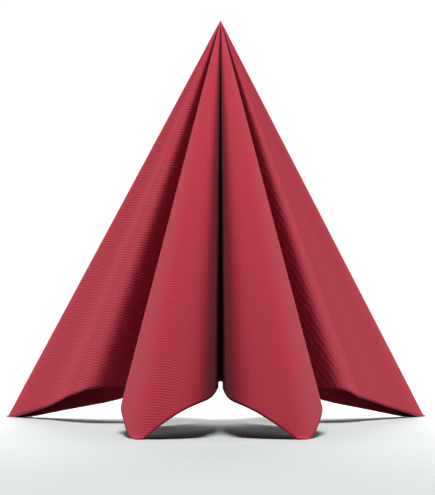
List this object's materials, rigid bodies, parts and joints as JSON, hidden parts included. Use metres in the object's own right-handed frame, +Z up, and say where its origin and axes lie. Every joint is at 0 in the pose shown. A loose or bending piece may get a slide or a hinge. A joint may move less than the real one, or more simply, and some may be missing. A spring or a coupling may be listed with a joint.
{
  "type": "standing folded napkin",
  "caption": "Square ribbed napkin folded into a tall pointed cone with rounded lobes, standing on its corners to dress a place at a table.",
  "frame": {"origin": "middle of the bounding box's base, on the table", "axes": "+Z up, -Y to the front where the slit between the front lobes is, +X to the right as seen from the front"},
  "size_m": [0.258, 0.2792, 0.2232],
  "materials": {
    "napkin": "matte, finely ribbed"
  },
  "bodies": {
    "root": {"napkin": "napkin"}
  },
  "joints": []
}
